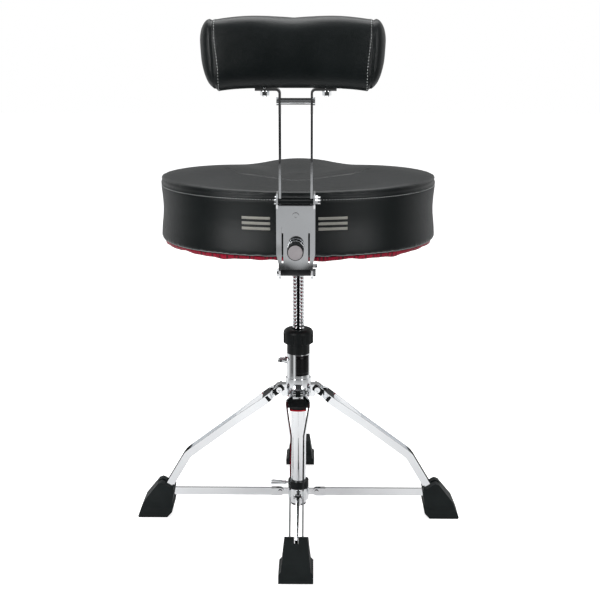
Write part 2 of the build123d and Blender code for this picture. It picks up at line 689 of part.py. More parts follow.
def bracket():
    """One bent sheet: two side walls and a back web with two long slots."""
    side = extrude(Plane.YZ * bracket_side_outline(), amount=PAST, both=True)
    wall = extrude(Plane.XZ * bracket_plan_walls(), amount=PAST)
    walls = (side & wall) + (side & mirror(wall, Plane.YZ))
    half, ear_half = BRACKET_INNER + 1, EAR_INNER + 1
    outline = [(half, WEB_HIGH), (half, STEP_HIGH), (ear_half, STEP_LOW), (ear_half, EAR_HIGH - 2)]
    back_view = make_face(Polyline(*outline, *[(-x, z) for x, z in outline[::-1]], close=True))
    web = extrude(Plane.XZ.offset(-BRACKET_BACK) * back_view, amount=-SHEET)
    for x in (-19, 19):
        web = web - block(x - 1.25, x + 1.25, BRACKET_BACK - 10, POST_Y, STEP_LOW + 1, CLAMP_PLATE_LOW - 1)
    body = walls + web + knob_bar(BRACKET_BACK + 0.5, BRACKET_BACK - 3.5, 9)
    body = body - tilt_bar(3.05, PAST) - clamp_screw_bar(2.6, 30)
    body = body - knob_bar(POST_Y, -PAST, KNOB_STEM_RADIUS + EASY)
    for y in (GUIDE_BACK_Y, GUIDE_FRONT_Y):
        body = body - guide_bar(y, 2.05, PAST)
    return body


def clamp_screw_bar(radius, length):
    z = CLAMP_SCREW_HEIGHT
    return pin((0, BRACKET_BACK - length, z), (0, BRACKET_BACK + SHEET, z), radius)


def clamp_plate():
    """Cover plate screwed over the upper half of the web."""
    back = BRACKET_BACK
    plate = block(-24, 24, back - 2.5, back - 0.05, CLAMP_PLATE_LOW, CLAMP_PLATE_HIGH)
    return plate - clamp_screw_bar(2.7, 30)


def clamp_screw():
    y, z = BRACKET_BACK, CLAMP_SCREW_HEIGHT
    head = pin((0, y - 5, z), (0, y - 2.55, z), 5)
    recess = hexagon((0, y - 6, z), (0, y - 3.4, z), 3.5)
    return head + clamp_screw_bar(2.5, 3) - recess


def guide_bar(y, radius, half_length):
    return pin((-half_length, y, GUIDE_HEIGHT), (half_length, y, GUIDE_HEIGHT), radius)


def guide_bolts():
    """Bolts across the bracket: round heads on the left, cap nuts on the right."""
    bolts = []
    wall = BRACKET_INNER + SHEET + 0.1
    for y in (GUIDE_BACK_Y, GUIDE_FRONT_Y):
        bolt = guide_bar(y, 2, wall)
        head = pin((-wall, y, GUIDE_HEIGHT), (-wall - 2.5, y, GUIDE_HEIGHT), 3.8)
        nut = hexagon((wall, y, GUIDE_HEIGHT), (wall + 3.5, y, GUIDE_HEIGHT), 8)
        dome = pin((wall + 3, y, GUIDE_HEIGHT), (wall + 7, y, GUIDE_HEIGHT), 3.2)
        bolts.append(bolt + head + nut + dome)
    return group(bolts)


def guide_rollers():
    """Short sleeves on the guide bolts, before and behind the posts."""
    pieces = []
    for y in (GUIDE_BACK_Y, GUIDE_FRONT_Y):
        pieces.append(guide_bar(y, 3, BRACKET_INNER - 0.1) - guide_bar(y, 2.05, PAST))
    return group(pieces)


def tilt_bolt():
    """Bolt through the ears and the barrel."""
    face = EAR_INNER + SHEET + 0.1
    shank = tilt_bar(3, face)
    head = pin((-face, POST_Y, TILT_HEIGHT), (-face - 3, POST_Y, TILT_HEIGHT), 5.5)
    nut = hexagon((face, POST_Y, TILT_HEIGHT), (face + 4, POST_Y, TILT_HEIGHT), 10)
    return shank + head + nut


# ---- Clamp knob ----
def knob_bar(near, far, radius):
    return pin((0, near, KNOB_HEIGHT), (0, far, KNOB_HEIGHT), radius)


def knob_stem():
    """Threaded stud that presses on the height plate."""
    return knob_bar(POST_Y - POST_DEPTH / 2 - 0.4, KNOB_END + 12, KNOB_STEM_RADIUS)


def knob_grip():
    grip = knob_bar(BRACKET_BACK - 4, KNOB_END + 2.2, KNOB_RADIUS)
    rims = grip.edges().filter_by(GeomType.CIRCLE)
    grip = chamfer(rims, 0.8)
    return grip - knob_bar(BRACKET_BACK, KNOB_END + 11.9, KNOB_STEM_RADIUS + 0.05)


def knob_cap():
    cap = knob_bar(KNOB_END + 2.1, KNOB_END, 10.3)
    return fillet(cap.edges().filter_by(GeomType.CIRCLE).sort_by(Axis.Y)[0], 1)


# ---- Backrest posts and pad ----
def post(side):
    """Flat bar with its top bent outwards as a tab under the pad."""
    inner = POST_X - POST_THICK / 2
    outer = POST_X + POST_THICK / 2
    top = POST_BEND + POST_THICK / 2
    profile = make_face(Polyline((inner, POST_LOW), (outer, POST_LOW), (outer, top - POST_THICK),
                                 (TAB_REACH, top - POST_THICK), (TAB_REACH, top), (inner, top), close=True))
    corner = profile.vertices().sort_by_distance((inner, top, 0))[0]
    profile = fillet(corner, 7)
    elbow = profile.vertices().sort_by_distance((outer, top - POST_THICK, 0))[0]
    profile = fillet(elbow, 3.8)
    bar = extrude(Plane.XZ.offset(-POST_Y) * profile, amount=POST_DEPTH / 2, both=True)
    bar = bar - pin((PAD_BOLT_X, POST_Y, CROSS_BAR_HEIGHT), (PAD_BOLT_X, POST_Y, PAD_HIGH), 3.1)
    bar = bar - pin((0, POST_Y, CROSS_BAR_HEIGHT), (PAST, POST_Y, CROSS_BAR_HEIGHT), 3.05)
    if side == "left":
        return mirror(bar, Plane.YZ)
    return bar


def height_plate():
    """Plate between the posts' lower ends that the clamp knob presses on."""
    back = POST_Y - POST_DEPTH / 2
    half = POST_X - POST_THICK / 2 - 0.05
    plate = block(-half, half, back, back + PLATE_THICK, POST_LOW, HEIGHT_PLATE_HIGH)
    tongue = block(-16, 16, back, back + PLATE_THICK, HEIGHT_PLATE_LOW, POST_LOW + 1)
    return plate + tongue


def cross_bar():
    """Spacer between the posts with its bolt."""
    half = POST_X - POST_THICK / 2 - 0.05
    outer = POST_X + POST_THICK / 2 + 0.05
    y, z = POST_Y, CROSS_BAR_HEIGHT
    spacer = pin((-half, y, z), (half, y, z), 4.6)
    bolt = pin((-outer - 1, y, z), (outer + 1, y, z), 3)
    left = pin((-outer, y, z), (-outer - 3, y, z), 5.5)
    right = pin((outer, y, z), (outer + 3, y, z), 5.5)
    return spacer + bolt + left + right


def pad_bolts():
    bolts = []
    under = POST_BEND - POST_THICK / 2
    for x in (-PAD_BOLT_X, PAD_BOLT_X):
        shank = pin((x, POST_Y, under - 8.5), (x, POST_Y, PAD_LOW + 4), 3)
        washer = pin((x, POST_Y, under - 1.3), (x, POST_Y, under - 0.1), 6.6)
        nut = hexagon((x, POST_Y, under - 6.8), (x, POST_Y, under - 1.2), 11)
        bolts.append(shank + washer + nut)
    return group(bolts)


def pad_section(inset):
    """Rounded cross-section of the backrest pad in (y, z)."""
    middle = (PAD_LOW + PAD_HIGH) / 2
    outline = RectangleRounded(PAD_THICK - 2 * inset, PAD_HIGH - PAD_LOW - 2 * inset, PAD_CORNER - inset)
    return Pos(POST_Y, middle) * outline


def pad_bar(inset, half_length):
    return extrude(Plane.YZ * pad_section(inset), amount=half_length, both=True)


def pad_bolt_holes(radius):
    left = pin((-PAD_BOLT_X, POST_Y, POST_BEND), (-PAD_BOLT_X, POST_Y, PAD_LOW + 14), radius)
    return left + mirror(left, Plane.YZ)


def pad_cover():
    """Leather sleeve round the pad, open at the two ends."""
    return pad_bar(0, PAD_SEAM_X) - pad_bar(COVER_THICK, PAD_SEAM_X + 1) - pad_bolt_holes(4)


def pad_board():
    """Wooden base inside the pad that the bolts screw into."""
    return pad_board_block(0, PAD_LOW + 4) - pad_bolt_holes(3.1)


def pad_board_block(gap, low):
    """The board's block from a height up to its top, made larger all round by gap."""
    half_x, half_y = PAD_BOARD_HALF_LENGTH + gap, PAD_BOARD_HALF_DEPTH + gap
    top = PAD_LOW + 4 + PAD_BOARD_THICK + gap
    return block(-half_x, half_x, POST_Y - half_y, POST_Y + half_y, low, top)


def pad_foam():
    return pad_bar(COVER_THICK + GAP, PAD_SEAM_X - GAP) - pad_board_block(GAP, PAD_LOW - 5)


def pad_end_caps():
    """Stuffed end panels, seamed to the sleeve."""
    thick = PAD_WIDTH / 2 - PAD_SEAM_X
    cap = extrude(Plane.YZ.offset(PAD_SEAM_X + 0.1) * pad_section(0.6), amount=thick - 0.1)
    cap = fillet(cap.edges().group_by(Axis.X)[-1], 8)
    return group([cap, mirror(cap, Plane.YZ)])


# ---- Write every sub-part ----
def write_base():
    save("column_tube", column_tube())
    save("center_tube", center_tube())
    save("tube_end_cap", tube_end_cap())
    save("leg_hub", leg_hub())
    save("hub_bushes", hub_bushes())
    save("leg_pivot_bolts", leg_pivot_bolts())
    save("nut_housing", nut_housing())
    save("column_lock_bolt", column_lock_bolt())


def write_collar():
    save("brace_collar", brace_collar())
    save("collar_bush", collar_bush())
    save("brace_pivot_bolts", brace_pivot_bolts())
    save("collar_wing_bolt", collar_wing_bolt())


def write_legs():
    strips, fittings, foot, bar = leg_strips(), leg_fittings(), boot(), brace()
    for number, angle in enumerate(LEG_ANGLES, start=1):
        save(f"leg_{number}_strips", turned(strips, angle))
        save(f"leg_{number}_fittings", turned(fittings, angle))
        save(f"leg_{number}_boot", turned(foot, angle))
        save(f"brace_{number}", turned(bar, angle))


def write_rod():
    save("rod", rod())
    save("height_nut", height_nut())
    save("nut_insert", nut_insert())


def write_seat():
    save("seat_board", seat_board())
    save("seat_foam", seat_foam())
    save("seat_side_band", seat_side_band())
    save("seat_top_cover", seat_top_cover())
    save("seat_dust_cover", seat_dust_cover())
    save("seat_plate", seat_plate())
    save("seat_screws", seat_screws())
    save("socket_clamp_bolt", socket_clamp_bolt())
    save("backrest_arm", backrest_arm())
    save("tilt_barrel", tilt_barrel())


def write_bracket():
    save("bracket", bracket())
    save("clamp_plate", clamp_plate())
    save("clamp_screw", clamp_screw())
    save("guide_bolts", guide_bolts())
    save("guide_rollers", guide_rollers())
    save("tilt_bolt", tilt_bolt())
    save("knob_stem", knob_stem())
    save("knob_grip", knob_grip())
    save("knob_cap", knob_cap())


def write_backrest():
    save("post_left", post("left"))
    save("post_right", post("right"))
    save("height_plate", height_plate())
    save("cross_bar", cross_bar())
    save("pad_bolts", pad_bolts())
    save("pad_board", pad_board())
    save("pad_foam", pad_foam())
    save("pad_cover", pad_cover())
    save("pad_end_caps", pad_end_caps())


os.makedirs("parts", exist_ok=True)
write_base()
write_collar()
write_legs()
write_rod()
write_seat()
write_bracket()
write_backrest()
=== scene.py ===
import math

import bpy
from mathutils import Matrix, Vector
from mathutils.bvhtree import BVHTree


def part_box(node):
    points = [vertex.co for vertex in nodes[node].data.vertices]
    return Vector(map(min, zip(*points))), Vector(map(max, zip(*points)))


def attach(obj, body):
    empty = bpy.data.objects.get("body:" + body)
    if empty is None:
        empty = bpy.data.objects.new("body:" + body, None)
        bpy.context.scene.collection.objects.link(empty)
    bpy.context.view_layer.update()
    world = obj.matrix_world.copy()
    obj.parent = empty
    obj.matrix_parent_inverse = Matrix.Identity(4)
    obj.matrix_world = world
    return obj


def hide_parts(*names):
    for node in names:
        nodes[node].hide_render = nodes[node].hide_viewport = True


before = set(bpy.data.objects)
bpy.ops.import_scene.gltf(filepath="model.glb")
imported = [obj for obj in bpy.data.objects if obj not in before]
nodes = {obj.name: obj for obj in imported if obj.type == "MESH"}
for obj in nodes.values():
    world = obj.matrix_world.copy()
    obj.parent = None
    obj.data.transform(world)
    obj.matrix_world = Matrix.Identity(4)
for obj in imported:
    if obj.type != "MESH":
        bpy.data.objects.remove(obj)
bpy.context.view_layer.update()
scene = bpy.context.scene
LEGS = (1, 2, 3, 4)

# ---------------------------------------------------------------- materials
# The sockets of a Mix node that mixes colours.
MIX_A, MIX_B, MIX_RESULT = 6, 7, 2


class Nodes:
    """Helpers for building a node tree."""

    def __init__(self, tree):
        self.tree = tree

    def node(self, kind, links=None, **settings):
        """A new node. Settings are its inputs' values or its own properties, and links feed its inputs."""
        made = self.tree.nodes.new(kind)
        for key, value in settings.items():
            if key in made.inputs:
                made.inputs[key].default_value = value
            else:
                setattr(made, key, value)
        for socket, source in (links or {}).items():
            self.tree.links.new(source, made.inputs[socket])
        return made

    def spread(self, value, low, high, to_low, to_high, curve="LINEAR"):
        """The value's range from low to high, carried over to another range and clamped."""
        ranged = self.node("ShaderNodeMapRange", {"Value": value}, interpolation_type=curve)
        sockets = ("From Min", "From Max", "To Min", "To Max")
        for socket, number in zip(sockets, (low, high, to_low, to_high)):
            ranged.inputs[socket].default_value = number
        return ranged.outputs["Result"]

    def math(self, operation, first, second=0.0):
        made = self.node("ShaderNodeMath", operation=operation)
        for index, value in enumerate((first, second)):
            if isinstance(value, (int, float)):
                made.inputs[index].default_value = value
            else:
                self.tree.links.new(value, made.inputs[index])
        return made.outputs[0]


class Shader(Nodes):
    """A Principled material with helpers for its node tree. Coordinates are the object's own metres."""

    def __init__(self, name, **sockets):
        self.material = bpy.data.materials.new(name)
        self.material.use_nodes = True
        super().__init__(self.material.node_tree)
        self.bsdf = self.tree.nodes["Principled BSDF"]
        self.coords = self.node("ShaderNodeTexCoord").outputs["Object"]
        for socket, value in sockets.items():
            self.bsdf.inputs[socket.replace("_", " ")].default_value = value

    def stretched(self, x=1, y=1, z=1):
        return self.node("ShaderNodeMapping", {"Vector": self.coords}, Scale=(x, y, z)).outputs["Vector"]

    def from_axis(self):
        """Distance from the Z axis."""
        flat = self.stretched(1, 1, 0)
        return self.node("ShaderNodeVectorMath", {"Vector": flat}, operation="LENGTH").outputs["Value"]

    def noise(self, scale, detail=3, vector=None):
        links = {"Vector": vector or self.coords}
        made = self.node("ShaderNodeTexNoise", links, Scale=scale, Detail=detail, Roughness=0.55)
        return made.outputs["Fac"]

    def cell_edges(self, scale):
        """Distance to the nearest edge between irregular cells."""
        links = {"Vector": self.coords}
        made = self.node("ShaderNodeTexVoronoi", links, feature="DISTANCE_TO_EDGE", Scale=scale)
        return made.outputs["Distance"]

    def weave(self, direction, scale):
        """One set of parallel threads."""
        links = {"Vector": self.coords}
        made = self.node("ShaderNodeTexWave", links, bands_direction=direction, Scale=scale, Distortion=0.4)
        return made.outputs["Fac"]

    def tint(self, value, dark, light):
        mix = self.node("ShaderNodeMix", {"Factor": value}, data_type="RGBA")
        mix.inputs[MIX_A].default_value = (*dark, 1)
        mix.inputs[MIX_B].default_value = (*light, 1)
        self.tree.links.new(mix.outputs[MIX_RESULT], self.bsdf.inputs["Base Color"])

    def rough(self, value, low, high):
        self.tree.links.new(self.spread(value, 0.3, 0.7, low, high), self.bsdf.inputs["Roughness"])

    def bump(self, height, strength, distance):
        made = self.node("ShaderNodeBump", {"Height": height}, Strength=strength, Distance=distance)
        self.tree.links.new(made.outputs["Normal"], self.bsdf.inputs["Normal"])


def chrome(name="chrome", waves=55, detail=2, strength=0.05, depth=0.0005):
    """Bright plating with faint clouds, over a surface with slow waves."""
    s = Shader(name, Metallic=1.0)
    s.tint(s.noise(18, 4), (0.76, 0.78, 0.80), (0.88, 0.89, 0.90))
    s.rough(s.noise(160, 5), 0.03, 0.08)
    s.bump(s.noise(waves, detail), strength, depth)
    return s.material


def rolled_thread():
    """Chromed thread whose roots and keyway are coloured dark as painted shade."""
    root, crest = 0.0080, 0.0094
    s = Shader("rolled_thread", Metallic=1.0)
    # Painted shade: the colour darkens from the crests down to the roots and in the keyway.
    s.tint(s.spread(s.from_axis(), root, crest, 0.0, 1.0), (0.045, 0.047, 0.05), (0.80, 0.82, 0.84))
    s.rough(s.noise(160, 5), 0.06, 0.14)
    s.bump(s.noise(55, 2), 0.05, 0.0005)
    return s.material


def steel(name, dark, light, low, high):
    """Plated or bare steel with a fine drawn grain."""
    s = Shader(name, Metallic=1.0)
    grain = s.noise(60, 6, s.stretched(1, 14, 14))
    s.tint(grain, dark, light)
    s.rough(grain, low, high)
    s.bump(grain, 0.15, 0.0002)
    return s.material


def powder_coat():
    """Black powder coat with fine orange peel."""
    s = Shader("black_steel", Specular_IOR_Level=0.3)
    speck = s.noise(900, 3)
    s.tint(s.noise(30, 3), (0.012, 0.013, 0.014), (0.028, 0.029, 0.031))
    s.rough(speck, 0.34, 0.48)
    s.bump(speck, 0.25, 0.0003)
    return s.material


def moulded(name, dark, light, low, high, grain=1500, depth=0.00025, gloss=0.18):
    """Moulded plastic or rubber with a spark-eroded skin and slight wear in colour."""
    s = Shader(name, Specular_IOR_Level=gloss)
    skin = s.noise(grain, 3)
    s.tint(s.math("MULTIPLY", s.noise(45, 4), s.spread(skin, 0.3, 0.7, 0.7, 1.2)), dark, light)
    s.rough(skin, low, high)
    s.bump(skin, 0.45, depth)
    return s.material


def leather():
    """Synthetic leather: small grain cells, creases between them darkened with painted shade, and a soft
    uneven sheen.
    """
    s = Shader("leather", Specular_IOR_Level=0.34)
    grain = s.spread(s.cell_edges(620), 0.0, 0.22, 0.0, 1.0)
    cloud = s.noise(14, 4)
    # The creases between the grain cells are darkened in colour: painted shade.
    clouded, painted_crease_shade = s.spread(cloud, 0.25, 0.75, 0.2, 1.0), s.spread(grain, 0.0, 1.0, 0.75, 1.0)
    s.tint(s.math("MULTIPLY", clouded, painted_crease_shade), (0.0012, 0.0028, 0.003), (0.0045, 0.0075, 0.008))
    s.rough(s.math("ADD", cloud, s.math("MULTIPLY", s.noise(420, 2), 0.25)), 0.26, 0.36)
    s.bump(s.math("ADD", grain, s.math("MULTIPLY", s.noise(90, 3), 1.4)), 0.22, 0.0004)
    return s.material


def woven(name, dark, light):
    """Plain weave from two crossed sets of threads, darker towards the middle of the cloth: painted shade
    under the seat, together with wear.
    """
    painted_shade_from, painted_shade_to = 0.15, 0.10
    s = Shader(name, Specular_IOR_Level=0.2, Sheen_Weight=0.35, Sheen_Roughness=0.4)
    weave = s.math("MAXIMUM", s.weave("X", 55), s.weave("Y", 55))
    # Painted shade, together with wear: the cloth darkens towards its middle, under the seat.
    edge = s.spread(s.from_axis(), painted_shade_to, painted_shade_from, 0.12, 1.0)
    shade = s.math("MULTIPLY", edge, s.spread(s.noise(35, 4), 0.3, 0.7, 0.6, 1.0))
    s.tint(s.math("MULTIPLY", weave, shade), dark, light)
    s.rough(weave, 0.72, 0.9)
    s.bump(weave, 0.3, 0.0003)
    return s.material


def thread(name, dark, light):
    """Twisted thread with a slight gloss."""
    s = Shader(name, Specular_IOR_Level=0.4)
    twist = s.noise(2200, 2)
    s.tint(twist, dark, light)
    s.rough(twist, 0.45, 0.65)
    s.bump(twist, 0.3, 0.0002)
    return s.material


def plywood():
    """Wood with drawn-out rings."""
    s = Shader("plywood")
    rings = s.noise(22, 6, s.stretched(1, 9, 14))
    s.tint(rings, (0.30, 0.18, 0.09), (0.62, 0.45, 0.27))
    s.rough(rings, 0.55, 0.75)
    s.bump(rings, 0.3, 0.0004)
    return s.material


finish = {
    "chrome": chrome(),
    "bent_chrome": chrome("bent_chrome", 26, 0, 0.32, 0.003),
    "black_plastic": moulded("black_plastic", (0.0015, 0.0022, 0.0024), (0.007, 0.0095, 0.01), 0.34, 0.48),
    "rubber": moulded("rubber", (0.002, 0.0038, 0.004), (0.008, 0.012, 0.0125), 0.48, 0.66, 1100, 0.0005),
    "leather": leather(),
    "red_fabric": woven("red_fabric", (0.020, 0.0003, 0.002), (0.46, 0.004, 0.035)),
    "foam": moulded("foam", (0.62, 0.58, 0.45), (0.8, 0.77, 0.66), 0.85, 0.95, 700, 0.001),
    "plywood": plywood(),
    "black_steel": powder_coat(),
    "zinc_steel": steel("zinc_steel", (0.42, 0.43, 0.45), (0.66, 0.67, 0.69), 0.22, 0.38),
    "grey_plastic": moulded("grey_plastic", (0.27, 0.25, 0.26), (0.47, 0.44, 0.45), 0.4, 0.55),
    "brass": steel("brass", (0.45, 0.30, 0.12), (0.74, 0.56, 0.28), 0.2, 0.34),
}
white_thread = thread("white_thread", (0.5, 0.52, 0.52), (0.85, 0.87, 0.86))
silver_thread = thread("silver_thread", (0.22, 0.215, 0.195), (0.5, 0.49, 0.44))
pale_piping = moulded("pale_piping", (0.16, 0.17, 0.17), (0.34, 0.36, 0.36), 0.4, 0.55)
red_plastic = moulded("red_plastic", (0.36, 0.004, 0.012), (0.66, 0.012, 0.03), 0.3, 0.42)
label_film = moulded("label_film", (0.002, 0.002, 0.002), (0.006, 0.006, 0.007), 0.12, 0.2)

# ---------------------------------------------------------------- mesh helpers


def new_piece(name, verts, faces, material, body, smooth=True):
    """An object in the scene with a material slot, that rides on a body when one is given."""
    mesh = bpy.data.meshes.new(name)
    mesh.from_pydata([tuple(v) for v in verts], [], faces)
    mesh.validate()
    mesh.polygons.foreach_set("use_smooth", [smooth] * len(mesh.polygons))
    piece = bpy.data.objects.new(name, mesh)
    scene.collection.objects.link(piece)
    mesh.materials.append(material)
    if body:
        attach(piece, body)
    return piece


def loft(rings, closed_ends=True):
    """Vertices and quads through rings of equal length; each ring is a closed loop."""
    count = len(rings[0])
    verts = [p for ring in rings for p in ring]
    faces = []
    for r in range(len(rings) - 1):
        for i in range(count):
            j = (i + 1) % count
            faces.append((r * count + i, r * count + j, (r + 1) * count + j, (r + 1) * count + i))
    if closed_ends:
        faces.append(tuple(range(count))[::-1])
        faces.append(tuple((len(rings) - 1) * count + i for i in range(count)))
    return verts, faces


def slab_faces(columns, rows):
    """Faces of a thin slab: its front and its back are grids of points, the front's points first."""
    wide, back = columns + 1, (columns + 1) * (rows + 1)
    faces = []
    for r in range(rows):
        for c in range(columns):
            a = r * wide + c
            faces.append((a, a + 1, a + wide + 1, a + wide))
            faces.append((back + a + wide, back + a + wide + 1, back + a + 1, back + a))
    border = list(range(wide)) + [r * wide + columns for r in range(1, rows + 1)]
    border += [rows * wide + c for c in range(columns - 1, -1, -1)]
    border += [r * wide for r in range(rows - 1, 0, -1)]
    for a, b in zip(border, border[1:] + border[:1]):
        faces.append((b, a, back + a, back + b))
    return faces


def apply_modifiers(piece):
    """Replaces a piece's mesh by what its modifiers show, and removes them."""
    bpy.context.view_layer.update()
    shown = piece.evaluated_get(bpy.context.evaluated_depsgraph_get())
    mesh = bpy.data.meshes.new_from_object(shown)
    piece.modifiers.clear()
    piece.data = mesh
    mesh.polygons.foreach_set("use_smooth", [True] * len(mesh.polygons))


def tree_of(piece):
    """Search tree for casting rays at a piece."""
    mesh = piece.data
    return BVHTree.FromPolygons([v.co for v in mesh.vertices], [tuple(p.vertices) for p in mesh.polygons])


def tube_along(name, path, radius, material, body, closed=True):
    """Round cord of mesh along a path of points."""
    sides = 8
    turns = [2 * math.pi * k / sides for k in range(sides)]
    rings = []
    count = len(path)
    for i, point in enumerate(path):
        before = path[(i - 1) % count] if closed or i else point
        after = path[(i + 1) % count] if closed or i < count - 1 else point
        along = (after - before).normalized()
        side = along.cross(Vector((0, 0, 1))).normalized()
        up = side.cross(along)
        rings.append([point + side * (radius * math.cos(t)) + up * (radius * math.sin(t)) for t in turns])
    if closed:
        rings.append(rings[0])
    verts, faces = loft(rings, not closed)
    return new_piece(name, verts, faces, material, body)


# A stitch's sections: place along it, thickness and lift, the last two as shares of its radius.
STITCH_SECTIONS = ((0, 0.25, -0.3), (0.2, 0.9, 0.35), (0.8, 0.9, 0.35), (1, 0.25, -0.3))
STITCH_SIDES = 6


def stitches(name, points, normals, length, gap, radius, material, body):
    """A row of short raised stitches along a path that lies on a surface."""
    verts, faces = [], []
    travelled, next_start = 0.0, 0.0
    spots = [0.0]
    for a, b in zip(points, points[1:]):
        travelled += (b - a).length
        spots.append(travelled)

    def at(distance):
        k = max(i for i, s in enumerate(spots[:-1]) if s <= distance)
        share = (distance - spots[k]) / max(spots[k + 1] - spots[k], 1e-9)
        normal = normals[k].lerp(normals[k + 1], share).normalized()
        return points[k].lerp(points[k + 1], share), normal

    while next_start + length < travelled:
        start, up = at(next_start)
        end, _ = at(next_start + length)
        along = (end - start).normalized()
        side = along.cross(up).normalized()
        first = len(verts)
        for share, size, lift in STITCH_SECTIONS:
            middle = start.lerp(end, share) + up * (radius * lift)
            for k in range(STITCH_SIDES):
                t = 2 * math.pi * k / STITCH_SIDES
                verts.append(middle + (side * math.cos(t) + up * math.sin(t)) * radius * size)
        last = first + (len(STITCH_SECTIONS) - 1) * STITCH_SIDES
        for low in range(first, last, STITCH_SIDES):
            high = low + STITCH_SIDES
            for k in range(STITCH_SIDES):
                j = (k + 1) % STITCH_SIDES
                faces.append((low + k, low + j, high + j, high + k))
        faces.append(tuple(range(first, first + STITCH_SIDES))[::-1])
        faces.append(tuple(range(last, last + STITCH_SIDES)))
        next_start += length + gap
    return new_piece(name, verts, faces, material, body)


def puff(piece, pinned, pressure, most, voxel):
    """Remeshes a closed form and swells it as cloth, with the pinned part held and no point moved too far."""
    frames = 20
    remesh = piece.modifiers.new("remesh", "REMESH")
    remesh.mode = "VOXEL"
    remesh.voxel_size = voxel
    apply_modifiers(piece)
    rest = [v.co.copy() for v in piece.data.vertices]
    held = piece.vertex_groups.new(name="held")
    for v in piece.data.vertices:
        weight = pinned(v.co)
        if weight > 0:
            held.add([v.index], weight, "REPLACE")
    cloth = piece.modifiers.new("cloth", "CLOTH")
    cloth.settings.use_pressure = True
    cloth.settings.uniform_pressure_force = pressure
    cloth.settings.effector_weights.gravity = 0
    cloth.settings.mass = 0.3
    cloth.settings.tension_stiffness = 25
    cloth.settings.compression_stiffness = 25
    cloth.settings.bending_stiffness = 2
    cloth.settings.vertex_group_mass = "held"
    cloth.point_cache.frame_start = 1
    cloth.point_cache.frame_end = frames
    for number in range(1, frames + 1):
        scene.frame_set(number)
    apply_modifiers(piece)
    for v, before in zip(piece.data.vertices, rest):
        step = v.co - before
        if step.length > most:
            v.co = before + step * (most / step.length)
    scene.frame_set(1)


def smooth_and_divide(piece, rounds):
    """Takes the voxel steps out of a remeshed form and subdivides it once."""
    smooth = piece.modifiers.new("smooth", "SMOOTH")
    smooth.factor = 0.5
    smooth.iterations = rounds
    divide = piece.modifiers.new("divide", "SUBSURF")
    divide.levels = divide.render_levels = 1
    apply_modifiers(piece)


def bell(value, centre, width):
    """1 at the centre, falling to 0 beyond width."""
    t = abs(value - centre) / width
    return 0.0 if t >= 1 else (1 - t * t) ** 2


# ---------------------------------------------------------------- saddle seat
band_low, band_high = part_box("seat_side_band")
SEAM = band_high.z
RIM = band_low.z
# The saddle's plan is a chain of arcs on each side. The given arcs are (centre x, centre y, radius). The arcs
# of the side and the thigh follow from them, from the half width and from how far the shoulder turns.
BACK_ARC = (0.0, 0.0825, 0.290)
SHOULDER_ARC = (0.108, -0.020, 0.110)
NOSE_ARC = (0.022, 0.130, 0.042)
HALF_WIDTH = 0.218
SHOULDER_TURN = math.radians(70)
MIDDLE_Y = -0.03
SADDLE_TOP = 0.5845
SADDLE_CROWN = 0.0035
STITCHES_BELOW_SEAM = 0.0072


def plan_side(steps=60):
    """Evenly spaced points and normals of the right half of the saddle's plan, from the back to the nose."""
    back, shoulder, nose, turn = BACK_ARC, SHOULDER_ARC, NOSE_ARC, SHOULDER_TURN
    rise = back[1] - shoulder[1]
    side_radius = (back[2] ** 2 - rise**2 - HALF_WIDTH**2) / (2 * (back[2] - HALF_WIDTH))
    side = (HALF_WIDTH - side_radius, shoulder[1], side_radius)
    end = (shoulder[0] + shoulder[2] * math.cos(turn), shoulder[1] + shoulder[2] * math.sin(turn))
    reach = (end[0] - nose[0], end[1] - nose[1])
    lean = reach[0] * math.cos(turn) + reach[1] * math.sin(turn)
    thigh_radius = (reach[0] ** 2 + reach[1] ** 2 - nose[2] ** 2) / (2 * (nose[2] - lean))
    thigh = (end[0] + thigh_radius * math.cos(turn), end[1] + thigh_radius * math.sin(turn), thigh_radius)
    side_start = math.atan2(side[1] - back[1], side[0] - back[0])
    nose_start = math.atan2(thigh[1] - nose[1], thigh[0] - nose[0])
    arcs = [
        (back, -math.pi / 2, side_start, 1),
        (side, side_start, 0.0, 1),
        (shoulder, 0.0, turn, 1),
        (thigh, math.pi + turn, math.pi + nose_start, -1),
        (nose, nose_start, math.pi / 2, 1),
    ]
    fine = []
    for (cx, cy, radius), first, last, sign in arcs:
        for k in range(200):
            t = first + (last - first) * k / 200
            fine.append((Vector((cx + radius * math.cos(t), cy + radius * math.sin(t), 0)),
                         Vector((sign * math.cos(t), sign * math.sin(t), 0))))
    fine.append((Vector((0.0, nose[1] + nose[2], 0)), Vector((0, 1, 0))))
    lengths = [0.0]
    for (a, _), (b, _) in zip(fine, fine[1:]):
        lengths.append(lengths[-1] + (b - a).length)
    picked, k = [], 0
    for i in range(steps + 1):
        want = lengths[-1] * i / steps
        while k < len(fine) - 2 and lengths[k + 1] < want:
            k += 1
        share = (want - lengths[k]) / max(lengths[k + 1] - lengths[k], 1e-9)
        (place, normal), (next_place, next_normal) = fine[k], fine[k + 1]
        picked.append((place.lerp(next_place, share), normal.lerp(next_normal, share).normalized()))
    return picked


def plan_loop(steps=60):
    """The whole outline of the saddle, with normals."""
    right = plan_side(steps)
    left = [(Vector((-p.x, p.y, 0)), Vector((-n.x, n.y, 0))) for p, n in right[1:-1]]
    return right + left[::-1]


def hump(x, y, height, across, along):
    """A rounded rise with its reach across and along."""
    return height * math.exp(-((x / across) ** 2) - ((y / along) ** 2))


def saddle_height(x, y):
    """Top surface of the saddle: two rear lobes, a shallow valley between them and a lower nose."""
    lobe = hump(abs(x) - 0.115, y + 0.045, 0.0155, 0.085, 0.10)
    ridge = hump(x, y - 0.12, 0.0075, 0.05, 0.07)
    return SADDLE_TOP + lobe + ridge


